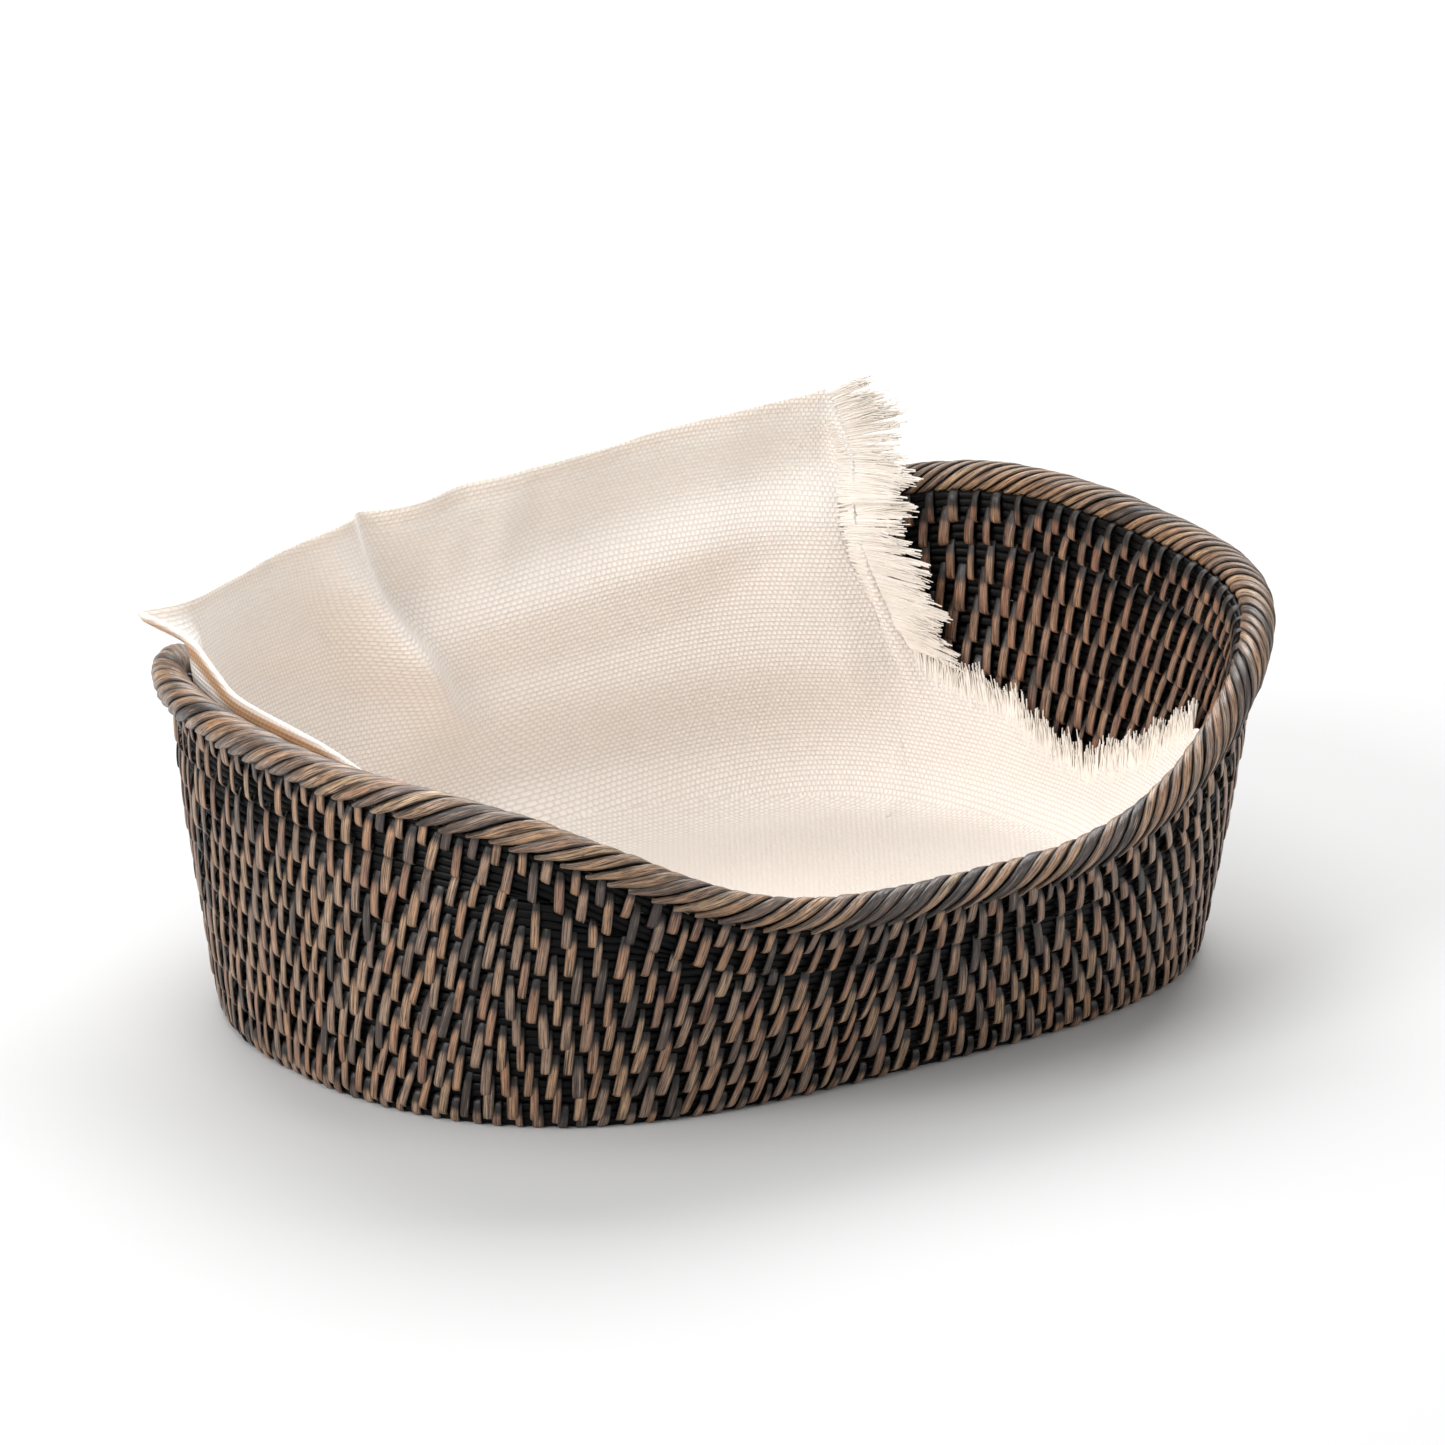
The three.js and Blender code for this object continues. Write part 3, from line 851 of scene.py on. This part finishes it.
def cloth_surface():
    """Middle surface of the cloth: a direction for each column, points and values for the material."""
    th, top, top_inset = edge_columns()
    z, ratio = cloth_profile(th, top)
    every = np.broadcast_to(th[:, None], z.shape)
    over = ease(8.5, 5.0, top_inset)
    start = mix(70.0, rim_height(th) + RIM_RADIUS + 0.8, over)[:, None]
    lie = ease(0.0, 1.0, (z - start) / np.maximum(top[:, None] - start, 1))
    run = wall_run(every)
    inset = CLOTH_INSET + (top_inset[:, None] - CLOTH_INSET) * lie + cloth_folds(every, z, run, top[:, None])
    wall = inside(every, np.minimum(z, rim_height(every)), inset)
    foot = inside(every, CLOTH_FLOOR, CLOTH_INSET)
    # the cloth leaves the base's outline only close to the wall, and lies a little uneven on it
    points = foot * ratio[..., None] + (wall - foot) * (ratio**6)[..., None]
    x, y = points[..., 0], points[..., 1]
    puff = 1.1 * (1 + np.sin(x / 31.0 + 0.6) * np.cos(y / 27.0 - x / 90.0))
    points[..., 2] = z + puff * ease(1.0, 0.8, ratio) * ease(0.0, 0.12, ratio)
    rise = 0.07 * run * bell(degrees_round(every), 80, 40)
    values = {
        "flat_x": x, "flat_y": y, "height": z + rise,
        # low rises towards the middle of the cloth's floor; the material paints a shadow with it
        "on_wall": ease(0.90, 1.0, ratio), "low": ease(1.05, 0.5, ratio),
    }
    return th, points, run, values


def grid_normals(points):
    du = np.roll(points, -1, 0) - np.roll(points, 1, 0)
    return unit(np.cross(np.gradient(points, axis=1), du))


def make_cloth(look):
    """The cloth as a closed sheet: its upper face, its edge and its lower face in one grid."""
    th, points, run, values = cloth_surface()
    columns, degrees = len(th), np.degrees(th)
    normal = grid_normals(points)
    normal = normal * np.sign((normal[:, -1] * -wall_normal(th, 80.0)).sum(-1).mean())
    steps = np.linalg.norm(np.diff(points, axis=1), axis=-1)
    from_edge = np.cumsum(steps[:, ::-1], axis=1)[:, ::-1]
    from_edge = np.concatenate([from_edge, np.zeros((columns, 1))], axis=1)
    hem = ((degrees > HEM_FROM) & (degrees < HEM_TO))[:, None] * ease(5.5, 4.5, from_edge)
    half = (CLOTH_THICK / 2) * (1 + 0.1 * hem)
    upper = points + normal * half[..., None]
    lower = points - normal * half[..., None]
    tip = points[:, -1] + unit(points[:, -1] - points[:, -2]) * half[:, -1:] * 0.9
    sheet = np.concatenate([upper, tip[:, None], lower[:, ::-1]], axis=1)
    around = sheet.shape[1]

    def both_faces(value):
        return np.concatenate([value, value[:, -1:], value[:, ::-1]], axis=1)

    # the grid closes on itself, and its values run on past the first column once more
    # painted warm shade and bounce light: a band on the lower face, from 0.6 to 8 mm off the edge, round the
    # left end
    corner = ease(132, 150, degrees) * ease(232, 214, degrees)
    painted_warm_shade = ease(0.6, 1.8, from_edge) * ease(8.0, 6.0, from_edge) * corner[:, None]
    values = {key: both_faces(value) for key, value in (*values.items(), ("hem", hem))}
    values["under"] = both_faces(painted_warm_shade) * (np.arange(around) > around // 2)  # lower face only
    values = {key: np.concatenate([value, value[:1]]) for key, value in values.items()}
    full_turn = wall_run(np.array([math.tau])) - wall_run(np.array([0.0]))
    values["run"] = both_faces(np.concatenate([run, run[:1] + full_turn]))
    open_quads = grid_quads(columns + 1, around, False, False)
    values = {key: value.ravel()[open_quads].ravel() for key, value in values.items()}
    # two fans close the small hole left in the middle of the cloth's floor, above and below
    middle, rise = points[:, 0].mean(0), np.array([0, 0, CLOTH_THICK / 2])
    centre, last = columns * around, around - 1
    i = np.arange(0, columns, 2)
    near, between, far = i * around, (i + 1) % columns * around, (i + 2) % columns * around
    top_fan = np.stack([np.full(len(i), centre), far, between, near], -1)
    low_fan = np.stack([np.full(len(i), centre + 1), near + last, between + last, far + last], -1)
    fans = np.concatenate([top_fan, low_fan])
    values = {key: np.concatenate([value, np.full(fans.size, value[0])]) for key, value in values.items()}
    vertices = np.concatenate([sheet.reshape(-1, 3), [middle + rise, middle - rise]])
    quads = np.concatenate([open_quads % centre, fans])
    cloth = make_mesh("liner_sheet", vertices, quads, look, values)
    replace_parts(cloth, "liner_floor", "liner_wall")
    return cloth, th, points, normal


# ---- fringes: loose threads along the cloth's edge -----------------------------------------------------
Fringe = namedtuple("Fringe", "name node first last length threads droop")
FRINGES = (  # first and last are directions in degrees
    Fringe("fringe_corner", "liner_fringe_corner", 36.9, 46.3, 21.5, 1150, 0.10),
    Fringe("fringe_end", "liner_fringe_end", -21.5, 36.9, 12.5, 1000, 0.0),
)
THREAD_SIDES = 5
THREAD_STEPS = 9
CLUMP = 2.6  # distance between clumps of threads
# Level direction along the wall beside the corner's fringe, towards the taller end.
TO_TALL_END = level_side(wall_normal(np.radians(36.0), 90.0))


def fringe_roots(fringe, th, points, normal):
    """Where a fringe's threads start, with the directions off the edge, along it and out of the cloth."""
    degrees = np.degrees(th)
    span = np.where((degrees >= fringe.first) & (degrees <= fringe.last))[0]
    span = span[np.argsort(degrees[span])]
    edge, inner = points[span, -1], points[span, -3]
    run = run_along(edge)
    at = np.sort(rng.uniform(0, run[-1], fringe.threads))
    root, away, along, out = (
        pick_along(at, run, values)
        for values in (edge, edge - inner, np.gradient(edge, axis=0), normal[span, -1])
    )
    return at, root, unit(away), unit(along), unit(out)


def fringe_paths(fringe, at, root, away, along, out):
    """Curved, clumped threads that start just inside the edge."""
    count = len(root)

    def each(values):
        return values[:, None, None]

    clump = np.round(at / CLUMP + 0.5 * np.sin(at / 9.0))
    clump_lean = 0.22 * np.sin(clump * 12.9898)
    clump_reach = 1 + 0.13 * np.sin(clump * 7.31)
    t = np.linspace(0, 1, THREAD_STEPS)[None, :, None]
    size = each(fringe.length * clump_reach * rng.uniform(0.72, 1.08, count))
    gather = each((clump * CLUMP - at) * 0.30) * t
    side = along[:, None] * (each(clump_lean) * size * t * 0.5 + gather)
    curl = each(rng.normal(0, 1.0, count))
    wobble = along[:, None] * (0.5 * curl * np.sin(t * 5 + curl * 3))
    wobble = wobble + out[:, None] * (0.5 * curl * np.cos(t * 4 + curl) * t)
    lift = out[:, None] * (0.4 + each(rng.uniform(-0.5, 0.9, count)) * 1.3 * t)
    fall = np.array([0, 0, -1.0]) * (fringe.droop * size * t**2)
    sunk = each(rng.uniform(0.8, 6.5, count))
    return root[:, None] + away[:, None] * (size * t - sunk) + side + wobble + lift + fall


def thread_tubes(paths, radius):
    """Thin tubes along many paths of the same number of points."""
    count, steps = paths.shape[:2]
    tangent = unit(np.gradient(paths, axis=1))
    helper = unit(np.cross(tangent, np.broadcast_to([0.31, 0.52, 0.79], tangent.shape)))
    other = np.cross(tangent, helper)
    turn = circle(THREAD_SIDES)[:, None]
    round_it = helper[:, :, None] * np.cos(turn) + other[:, :, None] * np.sin(turn)
    taper = np.linspace(1, 0.7, steps)[None, :, None, None]
    ring = paths[:, :, None] + radius[:, None, None, None] * taper * round_it
    return ring, many(count, grid_quads(steps, THREAD_SIDES, False, True), steps * THREAD_SIDES)


def make_fringe(fringe, th, points, normal, look):
    at, root, away, along, out = fringe_roots(fringe, th, points, normal)
    if fringe.name == "fringe_corner":
        # its threads point along the wall, down at the bottom and up at the peak
        rise = np.interp(root[:, 2], (60, 90, 130, 150, 158), (-0.35, 0.0, 0.22, 0.45, 0.85))
        away = unit(TO_TALL_END + rise[:, None] * np.array([0, 0, 1.0]))
    paths = fringe_paths(fringe, at, root, away, along, out)
    tubes, quads = thread_tubes(paths, rng.uniform(0.24, 0.42, len(root)))
    tint = np.repeat(rng.uniform(0, 1, len(root)), THREAD_STEPS * THREAD_SIDES)
    piece = make_mesh(fringe.name, tubes, quads, look, {"tint": tint})
    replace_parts(piece, fringe.node)
    return piece


def weave(n, u, v):
    """Rows of raised ovals, each row half a step along from the one below."""
    v = n.math("DIVIDE", v, THREAD_PITCH * 0.80)
    odd = n.math("MODULO", n.math("ABSOLUTE", n.math("FLOOR", v)), 2.0)
    u = n.math("ADD", n.math("DIVIDE", u, THREAD_PITCH * 1.1), n.times(odd, 0.5))
    arch_u, arch_v = (n.math("SINE", n.times(n.math("FRACT", f), math.pi)) for f in (u, v))
    return n.times(n.math("POWER", arch_u, 0.55), n.math("POWER", arch_v, 0.7))


def cloth_material():
    """Cream weave with a soft sheen: painted backlight glow at the top, a painted shadow on the floor, a
    warmer hem, painted warm shade on the lower face at the corner, and painted shade in the weave's
    recesses.
    """
    n = Nodes("cream_weave")
    keys = ("flat_x", "flat_y", "run", "height", "on_wall", "low", "hem", "under")
    flat_x, flat_y, run, height, on_wall, low, hem, under = (n.attribute(key) for key in keys)
    side = n.math("GREATER_THAN", on_wall, 0.5)
    on_side = n.times(side, weave(n, run, height))
    on_floor = n.times(n.math("SUBTRACT", 1.0, side), weave(n, flat_x, flat_y))
    thread = n.math("ADD", on_side, on_floor)
    place = n.object_place()
    color = n.blend(n.noise(place, 22.0, 3.0), srgb(250, 243, 237), srgb(244, 235, 227))
    # painted shade: the weave's recesses are darkened
    recess = n.ramp(thread, (0.1, (0.78, 0.73, 0.68)), (0.75, WHITE))
    color = n.blend(0.75, color, n.blend(1.0, color, recess, "MULTIPLY"))
    # painted backlight glow: the cloth turns paler from 94 mm up to 124 mm
    upper = n.math("DIVIDE", n.math("SUBTRACT", height, 94.0), 30.0, clamp=True)
    for share, strength, tone in (
        (upper, 0.38, srgb(255, 252, 249)),
        # painted shadow on the cloth's floor, darker towards its middle
        (low, 0.9, srgb(228, 217, 206)),
        (hem, 0.3, srgb(226, 211, 194)),
        # painted warm shade and bounce light on the lower face near the edge
        (under, 0.95, srgb(184, 134, 84)),
    ):
        color = n.blend(n.times(share, strength), color, tone)
    n.color(color)
    n.surface(
        Roughness=0.9, Specular_IOR_Level=0.12, Sheen_Weight=0.25, Sheen_Roughness=0.5,
        Subsurface_Weight=0.4, Subsurface_Radius=(1.0, 0.92, 0.84), Subsurface_Scale=0.002,
    )
    n.bump(n.math("ADD", thread, n.times(n.noise(place, 900.0, 2.0), 0.35)), 0.85, 0.0004)
    return n.material


def thread_material():
    n = Nodes("cream_thread")
    place = n.object_place()
    color = n.blend(n.noise(place, 160.0, 2.0), srgb(250, 246, 240), srgb(238, 230, 220))
    n.color(n.blend(n.times(n.attribute("tint"), 0.3), color, srgb(222, 208, 192)))
    n.surface(Roughness=0.85, Specular_IOR_Level=0.15, Sheen_Weight=0.2)
    n.bump(n.noise(place, 1500.0, 2.0), 0.4, 0.0001)
    return n.material


def liner():
    cloth, th, points, normal = make_cloth(Look(cloth_material(), "liner", "cream_cloth"))
    threads = Look(thread_material(), "liner", "cream_cloth")
    pieces = [make_fringe(fringe, th, points, normal, threads) for fringe in FRINGES]


# ---- the bound rods ------------------------------------------------------------------------------------
BASE_STITCH = 8.2  # distance between the strips of the base


def stitch_directions():
    """Directions of the strips round the wall, closer at the ends, and half a step further on."""
    steps = np.diff(run_along(wall_point(AROUND, 45.0)))
    from_end = np.degrees(np.arccos(np.abs(np.cos(AROUND[1:]))))
    run = np.concatenate([[0], np.cumsum(steps * (1 + END_CLOSER * bell(from_end, 0, 42)))])
    places = (np.arange(STITCHES) + np.array([[0.0], [0.5]])) / STITCHES * run[-1]
    return np.interp(places, run, AROUND)


def bind_wall(strand, strip, depth, width):
    even_and_odd = stitch_directions()
    for row in wall_rows():
        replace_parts(strands(row, depth * 0.60, strand), row.name)
        th = even_and_odd[row.order % 2]
        th = np.concatenate([th - math.tau, th, th + math.tau])
        th = th[(th >= row.th[0]) & (th < row.th[-1])]
        if row.order > FULL_ROWS:
            th = th[room_share(row.order, th) > STITCH_LEAST]
        places = np.interp(th, row.th, row.at) + rng.normal(0, 0.45, len(th))
        turn = degrees_round(th)
        lean = 0.06 * bell(turn, 206, 9) - 0.16 * bell(turn, 228, 12) - 0.06 * bell(turn, 186, 12)
        strips(row, places, depth, width, 0.75, strip, row.loop, lean=lean, lean_in=-0.13)


def bind_base(strand, strip, depth, width):
    for row in base_rows():
        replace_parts(strands(row, depth * 0.8, strand), row.name)
        number = max(12, int(row.length / BASE_STITCH))
        places = np.arange(number) / number * row.length + rng.normal(0, 0.4, number)
        strips(row, places, depth, width, 0.7, strip, ROUND_LOOP, steps=20)


def basket():
    dark = strand_material()
    strand = Look(dark, "basket", "dark_rattan")
    strip = Look(strip_material("rattan_strip", TAN, 0.36, 0.35), "basket", "dark_rattan")
    bind_wall(strand, strip, 3.3, 3.35)
    bind_base(strand, strip, 3.2, 3.2)
    rim = rim_row()
    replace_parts(rim_core(rim, Look(dark, "basket", "rim_rattan")), "rim_hoop")
    rim_strips(rim, Look(strip_material("rim_strip", RIM_TAN, 0.34, 0.85), "basket", "rim_rattan"))


# ---- camera, floor and light ---------------------------------------------------------------------------
CAMERA_PLACE = (-2.6360, -3.7357, 1.6964)
CAMERA_FORWARD = (0.54441327, 0.77048333, -0.3316167)
CAMERA_ROLL = 0.298  # degrees
FLOOR_HALF = 14.0


def camera():
    data = bpy.data.cameras.new("camera")
    data.sensor_width = 36.0
    data.lens = 357.8
    data.clip_end = 60
    obj = add_object("camera", data)
    forward = Vector(CAMERA_FORWARD).normalized()
    right = forward.cross(Vector((0, 0, 1))).normalized()
    up = right.cross(forward)
    c, s = math.cos(math.radians(CAMERA_ROLL)), math.sin(math.radians(CAMERA_ROLL))
    turn = Matrix((right * c + up * s, up * c - right * s, -forward)).transposed()
    obj.matrix_world = Matrix.Translation(CAMERA_PLACE) @ turn.to_4x4()
    bpy.context.scene.camera = obj


def area_light(name, place, target, size, power):
    data = bpy.data.lights.new(name, "AREA")
    data.shape = "RECTANGLE"
    data.size, data.size_y = size
    data.energy = power
    obj = add_object(name, data)
    obj.location = place
    obj.rotation_mode = "QUATERNION"
    obj.rotation_quaternion = (Vector(target) - Vector(place)).to_track_quat("-Z", "Y")


def studio():
    """Plain pale floor, even surroundings and four soft lights, in metres."""
    mesh = bpy.data.meshes.new("floor")
    corners = [(x * FLOOR_HALF, y * FLOOR_HALF, 0) for x, y in ((-1, -1), (1, -1), (1, 1), (-1, 1))]
    mesh.from_pydata(corners, [], [(0, 1, 2, 3)])
    floor = add_object("floor", mesh)
    n = Nodes("floor")
    n.color((0.60, 0.60, 0.60))
    n.surface(Roughness=0.6, Specular_IOR_Level=0.2)
    mesh.materials.append(n.material)
    world = bpy.data.worlds.new("world")
    bpy.context.scene.world = world
    world.use_nodes = True
    world.node_tree.nodes["Background"].inputs["Color"].default_value = (1, 1, 1, 1)
    world.node_tree.nodes["Background"].inputs["Strength"].default_value = 0.36
    area_light("top_back", (0.85, 1.25, 1.75), (0, 0, 0.05), (2.2, 1.6), 61)
    area_light("overhead", (-0.5, -0.1, 2.3), (0, 0, 0.05), (1.2, 1.2), 15)
    area_light("left_fill", (-1.97, -0.25, 1.35), (0, 0, 0.08), (1.3, 1.3), 38)
    area_light("right_fill", (1.6, -1.6, 1.0), (0, 0, 0.08), (1.2, 1.2), 13)
    bpy.context.scene.view_settings.view_transform = "Standard"


# ---- build -----------------------------------------------------------------------------------------------
basket()
liner()
camera()
studio()
